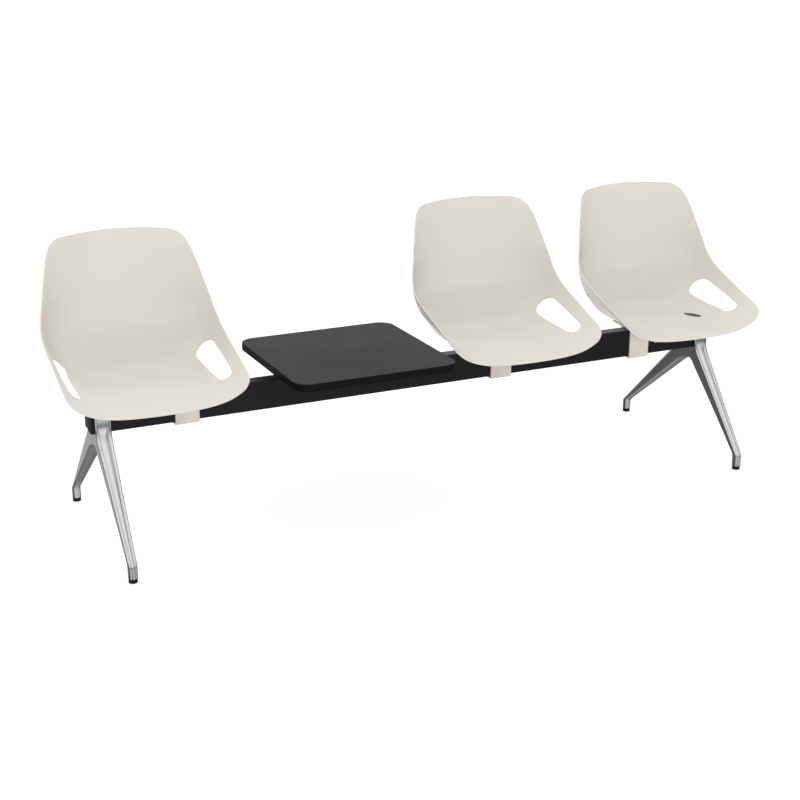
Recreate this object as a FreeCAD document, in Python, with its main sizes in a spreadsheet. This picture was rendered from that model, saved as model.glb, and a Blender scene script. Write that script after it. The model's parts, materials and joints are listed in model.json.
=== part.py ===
import FreeCAD, Part
import math
import os
import Sketcher
from FreeCAD import Vector as V

# Beam seating: three one-piece shells and a small table on one steel beam,
# carried by two cast legs.  Millimetres.  +X runs along the beam, +Y points
# to the back (sitters face -Y), +Z is up.  Origin: middle of the footprint,
# on the floor.

doc = FreeCAD.newDocument("beam_seating")
sheet = doc.addObject("Spreadsheet::Sheet", "dims")

DIMS = [
    # beam: rectangular steel tube
    ("beam_depth", 40), ("beam_height", 83), ("beam_wall", 3), ("beam_length", 1942),
    ("beam_mid_y", -55), ("beam_mid_z", 373), ("beam_edge", 3),
    # plastic end caps
    ("cap_flange", 5), ("cap_depth", 40.5), ("cap_height", 84.2), ("cap_mid_y", -55.5),
    ("cap_mid_z", 372.3), ("cap_plug_depth", 33.6), ("cap_plug_height", 76.6),
    ("cap_plug_length", 18), ("cap_plug_wall", 2.5),
    # legs
    ("leg_pitch", 946.7), ("leg_half", 22), ("column_front", -87), ("column_back", -75),
    ("column_top", 408), ("head_top", 331.5), ("pocket_half", 15.5), ("pocket_floor", -79),
    ("pocket_bottom", 340), ("foot_reach", 303), ("foot_radius", 12), ("foot_bottom", 12),
    ("foot_top", 45), ("stud_bore", 5.06), ("stud_bore_top", 42),
    # levelling glides
    ("glide_radius", 11.8), ("glide_height", 12), ("stud_radius", 5), ("stud_top", 37),
    ("stud_socket", 2.5),
    # clamp bracket behind the beam at each leg
    ("clamp_half", 25), ("clamp_mid", 950), ("clamp_back", -2), ("clamp_low", 331.5),
    ("clamp_high", 422), ("clamp_plate", 6), ("clamp_side", 5), ("clamp_hook_front", -72),
    # bolts that hold leg, beam and bracket together
    ("leg_bolt_radius", 4), ("leg_bolt_hole", 4.25), ("leg_bolt_low", 378), ("leg_bolt_high", 398),
    ("leg_bolt_length", 56), ("leg_bolt_head", 6.5), ("leg_bolt_head_h", 4.6),
    ("leg_nut", 7.4), ("leg_nut_h", 6.4),
    # seat places along the beam and their strap places
    ("seat_left_x", -821.5), ("seat_middle_x", 257.4), ("seat_right_x", 821.5),
    ("strap_left_x", -716), ("strap_middle_x", 240), ("strap_right_x", 721), ("riser_x", -240),
    # folded strap round the beam
    ("strap_half", 33.3), ("strap_sheet", 5), ("strap_rear", -20), ("strap_bend", 6),
    ("strap_front", -80), ("strap_low", 323.5), ("strap_high", 419.5),
    ("pad_thick", 3), ("pad_half", 31.3), ("pinch_half", 31.3), ("pinch_sheet", 3.2),
    ("pinch_screw_radius", 3), ("pinch_screw_hole", 3.3), ("pinch_screw_y", -26.4), ("pinch_screw_x", 19),
    # carrier frame under each shell
    ("carrier_top", 422.4), ("carrier_low", 408.5), ("carrier_step", 419), ("carrier_sheet", 3),
    ("carrier_front_half", 128), ("carrier_rear_half", 124), ("carrier_front_y", -202),
    ("carrier_front_back_y", -172), ("carrier_rear_front_y", 0), ("carrier_rear_y", 20),
    ("carrier_rear_low", 411.5), ("carrier_spine_half", 62), ("carrier_plate_half", 121),
    ("carrier_plate_front_y", -199),
    # moulded bosses on the shell and their screws
    ("boss_radius", 9), ("boss_x", 110), ("boss_front_y", -187), ("boss_rear_y", 10),
    ("boss_bore", 2.5), ("boss_bore_top", 426.6), ("shell_screw_radius", 2.4), ("shell_screw_head", 5),
    # table
    ("table_width", 474), ("table_depth", 481), ("table_thick", 22), ("table_mid_x", -241.8),
    ("table_mid_y", -54.2), ("table_low", 438), ("table_corner", 44.5), ("table_edge", 2),
    ("riser_half_x", 150), ("riser_front_y", -200), ("riser_back_y", 98), ("riser_sheet", 3),
    ("riser_foot_half", 60), ("riser_frame_wide", 47), ("table_screw_x", 130),
    ("table_screw_front_y", -180), ("table_screw_back_y", 78), ("table_screw_radius", 2),
    ("table_screw_hole", 2.1), ("table_screw_head", 4.4),
    ("foot_screw_x", 38), ("foot_screw_radius", 3), ("foot_screw_z", 392), ("riser_flange_low", 377),
    # seat shell
    ("shell_thick", 4.5), ("front_mid_y", -252), ("front_bow", 1283), ("front_corner", 35),
    ("top_mid_z", 811.5), ("top_bow", 2085), ("top_corner", 56), ("top_corner_x", 140.1), ("top_corner_z", 751.5),
    # oval drain plug in the right shell
    ("plug_x", 932), ("plug_y", -54), ("plug_long", 34), ("plug_short", 13), ("plug_recess", 0.8),
    ("plug_gap", 0.12), ("plug_turn", -73.9),
]

# Shell profile.  Each station holds the seat's middle line (y, z), its rim
# (y, z, half width) and how late across the width the wing turns up.
STATIONS = [
    (-262, 413.0, -262, 458.0, 238.0, 4.8), (-252, 419.5, -252, 461.5, 238.2, 4.8),
    (-238, 424.0, -238, 466.5, 238.4, 4.8), (-215, 427.0, -216, 474.0, 238.6, 4.8),
    (-170, 428.6, -171, 491.0, 238.8, 4.8), (-110, 428.2, -113, 511.0, 239.0, 4.8),
    (-50, 427.4, -64, 529.0, 239.0, 4.8), (5, 427.8, -25, 543.0, 239.0, 4.8),
    (40, 430.5, -2, 552.5, 239.0, 4.85), (65, 438.5, 14, 559.5, 239.0, 4.95),
    (82, 453.0, 28, 567.0, 238.9, 5.3), (92, 474.0, 38.5, 573.5, 238.6, 6.2),
    (101, 503.0, 47, 581.0, 237.9, 7.6), (109, 535.0, 54.5, 589.0, 236.7, 8.0),
    (117, 565.0, 62, 599.0, 234.6, 7.6), (126, 590.0, 69, 611.0, 232.4, 6.8),
    (133, 612.0, 74, 624.0, 230.0, 5.9), (145, 650.0, 85, 654.0, 223.0, 4.3),
    (158, 690.0, 100, 690.0, 214.5, 3.3), (173, 730.0, 114.5, 727.0, 205.5, 2.7),
    (189, 770.0, 131, 763.0, 195.2, 2.3), (207, 811.0, 151, 800.0, 185.0, 2.1),
    (217, 832.0, 161, 820.0, 180.0, 2.1),
]
STATION_KEYS = ("mid_y", "mid_z", "rim_y", "rim_z", "rim_half", "turn")

# Grip slot in each wing, seen from the side (y, z).
SLOT = [
    (-120, 452.6), (-76.2, 454.8), (-20.2, 457.9), (24.9, 461.6), (53.8, 468.2), (65.9, 477.7),
    (68.1, 490.8), (63, 502.6), (49.3, 510.7), (27.2, 512.7), (0.8, 506.5), (-39.2, 497),
    (-81.2, 486.8), (-116.1, 477.5), (-136.2, 470.9), (-141.7, 462.5), (-137.2, 456.4),
]

# Leg arms: outer and inner point of each cross-section (y, z), half width.
FRONT_ARM = [
    (-87, 329, -42, 297, 21.6), (-112, 299, -78, 270, 21), (-152, 249, -124, 227, 19.2),
    (-200, 189, -177, 171, 16.8), (-250, 126, -231, 114, 14.4), (-290, 76.5, -275, 67.5, 12.7),
]
REAR_ARM = [
    (-6, 330, -38, 292, 21.6), (30, 314, -6.6, 274, 21.4), (80.5, 267.8, 46.2, 230.6, 19.6),
    (145, 206, 116.8, 175.3, 17.4), (212.7, 141.5, 191.6, 118.5, 15), (283, 74.3, 267.4, 57.4, 12.8),
]


def letters(i):
    return chr(ord("a") + i // 26) + chr(ord("a") + i % 26)


rows = list(DIMS)
for i, row in enumerate(STATIONS):
    for key, value in zip(STATION_KEYS, row):
        rows.append(("shell_%s_%s" % (key, letters(i)), value))
for i, (y, z) in enumerate(SLOT):
    rows += [("slot_y_" + letters(i), y), ("slot_z_" + letters(i), z)]
for arm, table in (("front", FRONT_ARM), ("rear", REAR_ARM)):
    for i, row in enumerate(table):
        for key, value in zip(("outer_y", "outer_z", "inner_y", "inner_z", "half"), row):
            rows.append(("%s_arm_%s_%s" % (arm, key, letters(i)), value))
for n, (alias, value) in enumerate(rows, 1):
    sheet.set("A%d" % n, alias)
    sheet.set("B%d" % n, repr(value))
    sheet.setAlias("B%d" % n, alias)
doc.recompute()


def val(alias):
    return float(sheet.get(alias))


def D(text):
    """Expression on the sheet: every word that is an alias gets its prefix."""
    out, word = "", ""
    for ch in str(text) + " ":
        if ch.isalnum() or ch == "_":
            word += ch
            continue
        out += ("dims." + word) if word in ALIASES else word
        out += ch
        word = ""
    return out.strip()


ALIASES = {alias for alias, _ in rows}
KEEP = []


def keep(obj, label):
    obj.Label = label
    KEEP.append(obj)
    return obj


def place(obj, x="0", y="0", z="0"):
    for axis, text in zip("xyz", (x, y, z)):
        obj.setExpression("Placement.Base." + axis, D(text))


def box(name, x0, x1, y0, y1, z0, z1):
    b = doc.addObject("Part::Box", name)
    b.setExpression("Length", D("(%s)-(%s)" % (x1, x0)))
    b.setExpression("Width", D("(%s)-(%s)" % (y1, y0)))
    b.setExpression("Height", D("(%s)-(%s)" % (z1, z0)))
    place(b, x0, y0, z0)
    return b


TURN = {"z": FreeCAD.Rotation(), "-z": FreeCAD.Rotation(V(1, 0, 0), 180), "y": FreeCAD.Rotation(V(1, 0, 0), -90),
        "-y": FreeCAD.Rotation(V(1, 0, 0), 90), "x": FreeCAD.Rotation(V(0, 1, 0), 90), "-x": FreeCAD.Rotation(V(0, 1, 0), -90)}


def cyl(name, x, y, z, radius, height, axis="z"):
    c = doc.addObject("Part::Cylinder", name)
    c.setExpression("Radius", D(radius))
    c.setExpression("Height", D(height))
    c.Placement = FreeCAD.Placement(V(), TURN[axis])
    place(c, x, y, z)
    return c


def hexagon(name, x, y, z, radius, height, axis="z"):
    c = doc.addObject("Part::Prism", name)
    c.Polygon = 6
    c.setExpression("Circumradius", D(radius))
    c.setExpression("Height", D(height))
    c.Placement = FreeCAD.Placement(V(), TURN[axis])
    place(c, x, y, z)
    return c


def fuse(name, parts):
    f = doc.addObject("Part::MultiFuse", name)
    f.Shapes = parts
    f.Refine = True
    return f


def cut(name, base, tools):
    tool = tools[0] if len(tools) == 1 else fuse(name + "_tools", tools)
    c = doc.addObject("Part::Cut", name)
    c.Base = base
    c.Tool = tool
    c.Refine = True
    return c


def group(name, parts):
    g = doc.addObject("Part::Compound", name)
    g.Links = parts
    return g


def round_edges(name, base, radius, chosen):
    """Fillet the edges whose middle satisfies chosen(point, edge)."""
    doc.recompute()
    f = doc.addObject("Part::Fillet", name)
    f.Base = base
    picks = []
    for i, e in enumerate(base.Shape.Edges, 1):
        mid = e.valueAt((e.FirstParameter + e.LastParameter) / 2)
        if chosen(mid, e):
            picks.append((i, val(radius), val(radius)))
    if not picks:
        raise RuntimeError("no edges for " + name)
    f.Edges = picks
    return f


def screws(label, spots, axis, shank, length, head, head_h, socket=None):
    """Round-headed screws: a spot is the middle of the face under the head."""
    back = axis[1:] if axis.startswith("-") else "-" + axis
    made = []
    for i, (x, y, z) in enumerate(spots):
        n = "%s_%d" % (label, i)
        s = fuse(n + "_body", [cyl(n + "_shank", x, y, z, shank, length, axis), cyl(n + "_head", x, y, z, head, head_h, back)])
        if socket:
            tip = {"y": (x, "(%s)-(%s)-0.1" % (y, head_h), z), "z": (x, y, "(%s)-(%s)-0.1" % (z, head_h))}[axis]
            s = cut(n + "_cut", s, [hexagon(n + "_socket", tip[0], tip[1], tip[2], socket, "(%s)*0.6+0.1" % head_h, axis)])
        made.append(s)
    return keep(group(label + "_set", made), label)


def body(label, x="0", y="0", z="0"):
    b = doc.addObject("PartDesign::Body", label)
    place(b, x, y, z)
    return keep(b, label)


def sketch(b, role, name, offset=None):
    s = b.newObject("Sketcher::SketchObject", name)
    plane = [f for f in b.Origin.OriginFeatures if f.Role == role][0]
    s.AttachmentSupport = (plane, "")
    s.MapMode = "FlatFace"
    if offset is not None:
        s.setExpression("AttachmentOffset.Base.z", D(offset))
    return s


def rectangle(s, width, height):
    """Rectangle centred on the sketch's origin, its sides bound to the sheet."""
    pts = [V(-10, -20, 0), V(10, -20, 0), V(10, 20, 0), V(-10, 20, 0)]
    g = [s.addGeometry(Part.LineSegment(pts[k], pts[(k + 1) % 4]), False) for k in range(4)]
    for k in range(4):
        s.addConstraint(Sketcher.Constraint("Coincident", g[k], 2, g[(k + 1) % 4], 1))
    s.addConstraint(Sketcher.Constraint("Horizontal", g[0]))
    s.addConstraint(Sketcher.Constraint("Horizontal", g[2]))
    s.addConstraint(Sketcher.Constraint("Vertical", g[1]))
    s.addConstraint(Sketcher.Constraint("Vertical", g[3]))
    s.addConstraint(Sketcher.Constraint("Symmetric", g[0], 1, g[1], 2, -1, 1))
    for key, geo, text, kind in (("wide", g[0], width, "DistanceX"), ("tall", g[1], height, "DistanceY")):
        i = s.addConstraint(Sketcher.Constraint(kind, geo, 1, geo, 2, 20.0 if key == "wide" else 40.0))
        s.renameConstraint(i, key)
        s.setExpression("Constraints." + key, D(text))
    return s


def circle(s, x, y, radius, key):
    c = s.addGeometry(Part.Circle(V(5, 5, 0), V(0, 0, 1), 3), False)
    for axis, text in (("X", x), ("Y", y)):
        i = s.addConstraint(Sketcher.Constraint("Distance" + axis, -1, 1, c, 3, 5.0))
        s.renameConstraint(i, key + "_at_" + axis)
        s.setExpression("Constraints." + key + "_at_" + axis, D(text))
    i = s.addConstraint(Sketcher.Constraint("Radius", c, 3.0))
    s.renameConstraint(i, key + "_radius")
    s.setExpression("Constraints." + key + "_radius", D(radius))


def middle(feature):
    """Run the feature to both sides of its sketch."""
    if "SideType" in feature.PropertiesList:
        feature.SideType = "Symmetric"
    else:
        feature.Midplane = True


def pad(b, s, length, both=False, back=False):
    p = b.newObject("PartDesign::Pad", s.Name + "_pad")
    p.Profile = s
    p.setExpression("Length", D(length))
    if both:
        middle(p)
    p.Reversed = back
    doc.recompute()
    return p


def pocket(b, s, length, both=False, back=False):
    before = b.Shape.Volume
    p = b.newObject("PartDesign::Pocket", s.Name + "_pocket")
    p.Profile = s
    p.setExpression("Length", D(length))
    if both:
        middle(p)
    p.Reversed = back
    doc.recompute()
    if not before - b.Shape.Volume > 1.0:
        raise RuntimeError("pocket took nothing: " + s.Name)
    return p


def fillet(b, name, radius, chosen):
    doc.recompute()
    base = b.Tip
    shape = base.Shape
    picks = []
    for i, e in enumerate(shape.Edges, 1):
        mid = e.valueAt((e.FirstParameter + e.LastParameter) / 2)
        if chosen(mid, e):
            picks.append("Edge%d" % i)
    if not picks:
        raise RuntimeError("no edges for " + name)
    f = b.newObject("PartDesign::Fillet", name)
    f.Base = (base, picks)
    f.setExpression("Radius", D(radius))
    doc.recompute()
    return f


def along(e, axis):
    a, b = e.Vertexes[0].Point, e.Vertexes[-1].Point
    d = b - a
    return d.Length > 1e-6 and abs(getattr(d, axis)) / d.Length > 0.999


# ---------------------------------------------------------------- beam tube
b = body("beam_tube", y="beam_mid_y", z="beam_mid_z")
pad(b, rectangle(sketch(b, "YZ_Plane", "beam_outer"), "beam_depth", "beam_height"), "beam_length", both=True)
fillet(b, "beam_edges", "beam_edge", lambda m, e: along(e, "x"))
pocket(b, rectangle(sketch(b, "YZ_Plane", "beam_inner"), "beam_depth-2*beam_wall", "beam_height-2*beam_wall"),
       "beam_length+20", both=True)
s = sketch(b, "XZ_Plane", "beam_bolt_holes")
for side in ("", "-"):
    for level in ("low", "high"):
        circle(s, side + "leg_pitch", "leg_bolt_%s-beam_mid_z" % level, "leg_bolt_hole", ("minus_" if side else "plus_") + level)
pocket(b, s, "beam_depth+20", both=True)
# thread holes for the table's foot, in the top wall and in the back wall
s = sketch(b, "XY_Plane", "beam_foot_top", "beam_height/2")
for side in ("+", "-"):
    circle(s, "riser_x%sfoot_screw_x" % side, "0", "foot_screw_radius+0.05", "top_" + ("a" if side == "+" else "b"))
pocket(b, s, "beam_wall+1")
s = sketch(b, "XZ_Plane", "beam_foot_back", "-(beam_depth/2-beam_wall-0.5)")
for side in ("+", "-"):
    circle(s, "riser_x%sfoot_screw_x" % side, "foot_screw_z-beam_mid_z", "foot_screw_radius+0.05", "back_" + ("a" if side == "+" else "b"))
pocket(b, s, "beam_wall+1")

# ------------------------------------------------------------ beam end caps
for side, sign in (("left", "-"), ("right", "")):
    b = body("beam_end_cap_" + side, x="%s(beam_length/2)" % sign, y="cap_mid_y", z="cap_mid_z")
    # flange outside the tube, then the hollow plug inside it
    pad(b, rectangle(sketch(b, "YZ_Plane", "cap_face_" + side), "cap_depth", "cap_height"), "cap_flange", back=bool(sign))
    fillet(b, "cap_corner_" + side, "beam_edge", lambda m, e: along(e, "x"))
    s = sketch(b, "YZ_Plane", "cap_plug_" + side)
    s.setExpression("AttachmentOffset.Base.x", D("beam_mid_y-cap_mid_y"))
    s.setExpression("AttachmentOffset.Base.y", D("beam_mid_z-cap_mid_z"))
    pad(b, rectangle(s, "cap_plug_depth", "cap_plug_height"), "cap_plug_length", back=not sign)
    s = sketch(b, "YZ_Plane", "cap_hollow_" + side)
    s.setExpression("AttachmentOffset.Base.x", D("beam_mid_y-cap_mid_y"))
    s.setExpression("AttachmentOffset.Base.y", D("beam_mid_z-cap_mid_z"))
    pocket(b, rectangle(s, "cap_plug_depth-2*cap_plug_wall", "cap_plug_height-2*cap_plug_wall"), "cap_plug_length+1", back=bool(sign))

# ------------------------------------------------------------- leg castings


def arm_wire(outer, inner, half, round_off):
    """Rounded rectangle across an arm: outer and inner point lie in the
    leg's middle plane, half is the half width in x."""
    a, c = V(0, outer[0], outer[1]), V(0, inner[0], inner[1])
    mid, up = (a + c) * 0.5, (a - c)
    depth = up.Length / 2
    up.normalize()
    r = min(round_off, depth * 0.9, half * 0.9)
    side = V(1, 0, 0)
    k = math.sqrt(0.5)

    def at(u, w):
        return mid + side * u + up * w

    edges = []
    for (u0, w0), (u1, w1), (su, sw) in (
            ((half - r, depth), (half, depth - r), (1, 1)), ((half, r - depth), (half - r, -depth), (1, -1)),
            ((r - half, -depth), (-half, r - depth), (-1, -1)), ((-half, depth - r), (r - half, depth), (-1, 1))):
        cu, cw = su * (half - r), sw * (depth - r)
        edges.append((at(u0, w0), at(cu + su * r * k, cw + sw * r * k), at(u1, w1)))
    out = []
    for i, (p, q, t) in enumerate(edges):
        out.append(Part.Arc(p, q, t).toShape())
        out.append(Part.LineSegment(t, edges[(i + 1) % 4][0]).toShape())
    return Part.Wire(out)


def arm(prefix, table, foot_sign):
    wires = []
    for i in range(len(table)):
        g = [val("%s_arm_%s_%s" % (prefix, key, letters(i))) for key in ("outer_y", "outer_z", "inner_y", "inner_z", "half")]
        wires.append(arm_wire((g[0], g[1]), (g[2], g[3]), g[4], 6.0))
    reach, r, top = val("foot_reach"), val("foot_radius"), val("foot_top")
    wires.append(arm_wire((foot_sign * (reach + r - 0.2), top - 5), (foot_sign * (reach - r + 0.2), top - 3), r - 0.2, 6.0))
    return Part.makeLoft(wires, True, False)


def leg_shape():
    half, head = val("leg_half"), val("head_top")
    front, back, top = val("column_front"), val("column_back"), val("column_top")
    # head under the beam
    outline = [(front, head), (8, head), (31, 313), (-3, 274.5), (-20, 282.8), (-34, 289.4), (-46, 291.8), (-58, 292), (-67, 288.6), (-75, 281.2), (-84, 271.5), (-113, 298), (front, 329)]
    face = Part.Face(Part.makePolygon([V(-half + 0.6, y, z) for y, z in outline + outline[:1]]))
    core = face.extrude(V(2 * half - 1.2, 0, 0))
    # column plate in front of the beam with its recessed face
    plate = Part.makeBox(2 * half, back - front, top - head + 4, V(-half, front, head - 4))
    plate = plate.fuse(Part.makeBox(2 * half, 12, 6, V(-half, front, head - 6)))
    plate = plate.makeFillet(4, [e for e in plate.Edges if e.BoundBox.ZMin > top - 1 and abs(e.BoundBox.YLength) > 5])
    shape = core.fuse([plate, arm("front", FRONT_ARM, -1), arm("rear", REAR_ARM, 1)])
    ph, floor, low = val("pocket_half"), val("pocket_floor"), val("pocket_bottom")
    shape = shape.cut(Part.makeBox(2 * ph, floor - front + 5, top, V(-ph, front - 5, low)))
    reach, r = val("foot_reach"), val("foot_radius")
    for sy in (-1, 1):
        foot = Part.makeCylinder(r, val("foot_top") - val("foot_bottom") - 6, V(0, sy * reach, val("foot_bottom")))
        foot = foot.fuse(Part.makeSphere(r, V(0, sy * reach, val("foot_top") - 6)))
        shape = shape.fuse(foot)
    for sy in (-1, 1):
        shape = shape.cut(Part.makeCylinder(val("stud_bore"), val("stud_bore_top"), V(0, sy * reach, 0)))
    for level in ("leg_bolt_low", "leg_bolt_high"):
        shape = shape.cut(Part.makeCylinder(val("leg_bolt_hole"), 40, V(0, front - 10, val(level)), V(0, 1, 0)))
    # shallow panels on both flanks of the arms
    for sx in (-1, 1):
        for pts in (((-8, 284), (16, 292), (66, 247), (205, 118), (246, 79), (232, 81), (112, 177), (20, 251)),
                    ((-96, 296), (-118, 272), (-164, 216), (-236, 125), (-262, 92), (-240, 108), (-186, 168), (-128, 232), (-90, 272))):
            w = Part.makePolygon([V(0, y, z) for y, z in pts + pts[:1]])
            tool = Part.Face(w).extrude(V(60, 0, 0))
            # follows the taper of the leg: 21.5 wide at z=300, 12 at z=50
            tilt = math.degrees(math.atan2(9.2, 250))
            tool.rotate(V(0, 0, 300), V(0, 1, 0), -tilt)
            tool.translate(V(19.6, 0, 0))
            if sx < 0:
                tool = tool.mirror(V(0, 0, 0), V(1, 0, 0))
            shape = shape.cut(tool)
    return shape.removeSplitter()


leg = leg_shape()
for side, sign in (("left", "-"), ("right", "")):
    f = doc.addObject("Part::Feature", "leg_casting_" + side)
    f.Shape = leg.copy()
    place(f, x=sign + "leg_pitch")
    keep(f, "leg_casting_" + side)

# ---------------------------------------------------------- levelling glides
for side, sx in (("left", "-"), ("right", "")):
    for end, sy in (("front", "-"), ("rear", "")):
        where = "%s_%s" % (side, end)
        x, y = sx + "leg_pitch", sy + "foot_reach"
        base = round_edges("glide_pad_%s_round" % where,
                           cyl("glide_blank_" + where, x, y, "0", "glide_radius", "glide_height"), "table_edge",
                           lambda m, e: e.Closed and m.z < 1)
        keep(cut("glide_pad_%s_cut" % where, base, [cyl("glide_seat_" + where, x, y, "stud_socket", "stud_radius", "20")]),
             "glide_pad_" + where)
        keep(cyl("glide_stud_" + where, x, y, "stud_socket", "stud_radius", "stud_top-stud_socket"), "glide_stud_" + where)

# ----------------------------------------- clamp bracket, bolts and nuts, legs
for side, sign in (("left", "-"), ("right", "")):
    mid = "%sclamp_mid" % sign
    lo, hi = "%s-clamp_half" % mid, "%s+clamp_half" % mid
    shell = fuse("leg_clamp_%s_body" % side, [
        box("lc_plate_" + side, lo, hi, "beam_mid_y+beam_depth/2", "beam_mid_y+beam_depth/2+clamp_plate", "clamp_low", "clamp_high"),
        box("lc_side_a_" + side, lo, "%s+clamp_side" % lo, "beam_mid_y+beam_depth/2", "clamp_back", "clamp_low", "clamp_high"),
        box("lc_side_b_" + side, "%s-clamp_side" % hi, hi, "beam_mid_y+beam_depth/2", "clamp_back", "clamp_low", "clamp_high"),
        box("lc_hook_" + side, lo, hi, "clamp_hook_front", "clamp_back", "beam_mid_z+beam_height/2", "clamp_high")])
    holes = [cyl("lc_hole_%s_%s" % (side, level), sign + "leg_pitch", "beam_mid_y", "leg_bolt_" + level, "leg_bolt_hole", "60", "y")
             for level in ("low", "high")]
    keep(cut("leg_clamp_%s_cut" % side, shell, holes), "leg_clamp_" + side)
    screws("leg_bolts_" + side, [(sign + "leg_pitch", "pocket_floor", "leg_bolt_" + level) for level in ("low", "high")],
           "y", "leg_bolt_radius", "leg_bolt_length", "leg_bolt_head", "leg_bolt_head_h", "3.2")
    nuts = []
    for level in ("low", "high"):
        n = "leg_nut_%s_%s" % (side, level)
        y = "beam_mid_y+beam_depth/2+clamp_plate"
        nuts.append(cut(n, hexagon(n + "_hex", sign + "leg_pitch", y, "leg_bolt_" + level, "leg_nut", "leg_nut_h", "y"),
                        [cyl(n + "_bore", sign + "leg_pitch", y + "-1", "leg_bolt_" + level, "leg_bolt_radius", "20", "y")]))
    keep(group("leg_nuts_%s_set" % side, nuts), "leg_nuts_" + side)

# ------------------------------- straps round the beam, pads, pinch plates


def strap(place_name, x, top_screw):
    lo, hi = "%s-strap_half" % x, "%s+strap_half" % x
    folded = fuse("strap_%s_fold" % place_name, [
        box("sp_top_" + place_name, lo, hi, "strap_front", "strap_rear", "strap_high-strap_sheet", "strap_high"),
        box("sp_front_" + place_name, lo, hi, "strap_front", "strap_front+strap_sheet", "strap_low", "strap_high"),
        box("sp_low_" + place_name, lo, hi, "strap_front", "strap_rear", "strap_low", "strap_low+strap_sheet")])
    bent = round_edges("strap_%s_bent" % place_name, folded, "strap_bend",
                       lambda m, e: along(e, "x") and m.y < val("strap_front") + 0.01)
    spots = [("%s-pinch_screw_x" % x, "pinch_screw_y"), ("%s+pinch_screw_x" % x, "pinch_screw_y")]
    holes = [cyl("sp_hole_%s_%d" % (place_name, i), px, py, "strap_low-5", "pinch_screw_hole", "120") for i, (px, py) in enumerate(spots)]
    keep(cut("strap_%s_cut" % place_name, bent, holes), "beam_strap_" + place_name)
    keep(box("strap_pad_" + place_name, "%s-pad_half" % x, "%s+pad_half" % x, "beam_mid_y-beam_depth/2",
             "beam_mid_y+beam_depth/2", "strap_low+strap_sheet", "strap_low+strap_sheet+pad_thick"), "strap_pad_" + place_name)
    lo, hi, y = "%s-pinch_half" % x, "%s+pinch_half" % x, "beam_mid_y+beam_depth/2"
    low, high = "strap_low+strap_sheet", "strap_high-strap_sheet"
    channel = fuse("pinch_%s_fold" % place_name, [
        box("pp_web_" + place_name, lo, hi, y, y + "+pinch_sheet", low, high),
        box("pp_top_" + place_name, lo, hi, y, "strap_rear", high + "-pinch_sheet", high),
        box("pp_low_" + place_name, lo, hi, y, "strap_rear", low, low + "+pinch_sheet")])
    holes = [cyl("pp_hole_%s_%d" % (place_name, i), px, py, "strap_low-5", "pinch_screw_radius+0.05", "120") for i, (px, py) in enumerate(spots)]
    keep(cut("pinch_%s_cut" % place_name, channel, holes), "pinch_plate_" + place_name)
    made = []
    for i, (px, py) in enumerate(spots):
        for level, z, length in (("low", "strap_low", "strap_sheet+pinch_sheet+3"),
                                 ("top", "strap_high-strap_sheet-pinch_sheet", top_screw)):
            n = "ps_%s_%d_%s" % (place_name, i, level)
            made.append(fuse(n, [cyl(n + "_shank", px, py, z, "pinch_screw_radius", length),
                                 cyl(n + "_head", px, py, z + "-2.8", "5.2", "2.8")]))
    keep(group("pinch_screws_%s_set" % place_name, made), "pinch_screws_" + place_name)


for name in ("left", "middle", "right"):
    strap(name, "strap_%s_x" % name, "strap_sheet+pinch_sheet+2.4")

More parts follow.
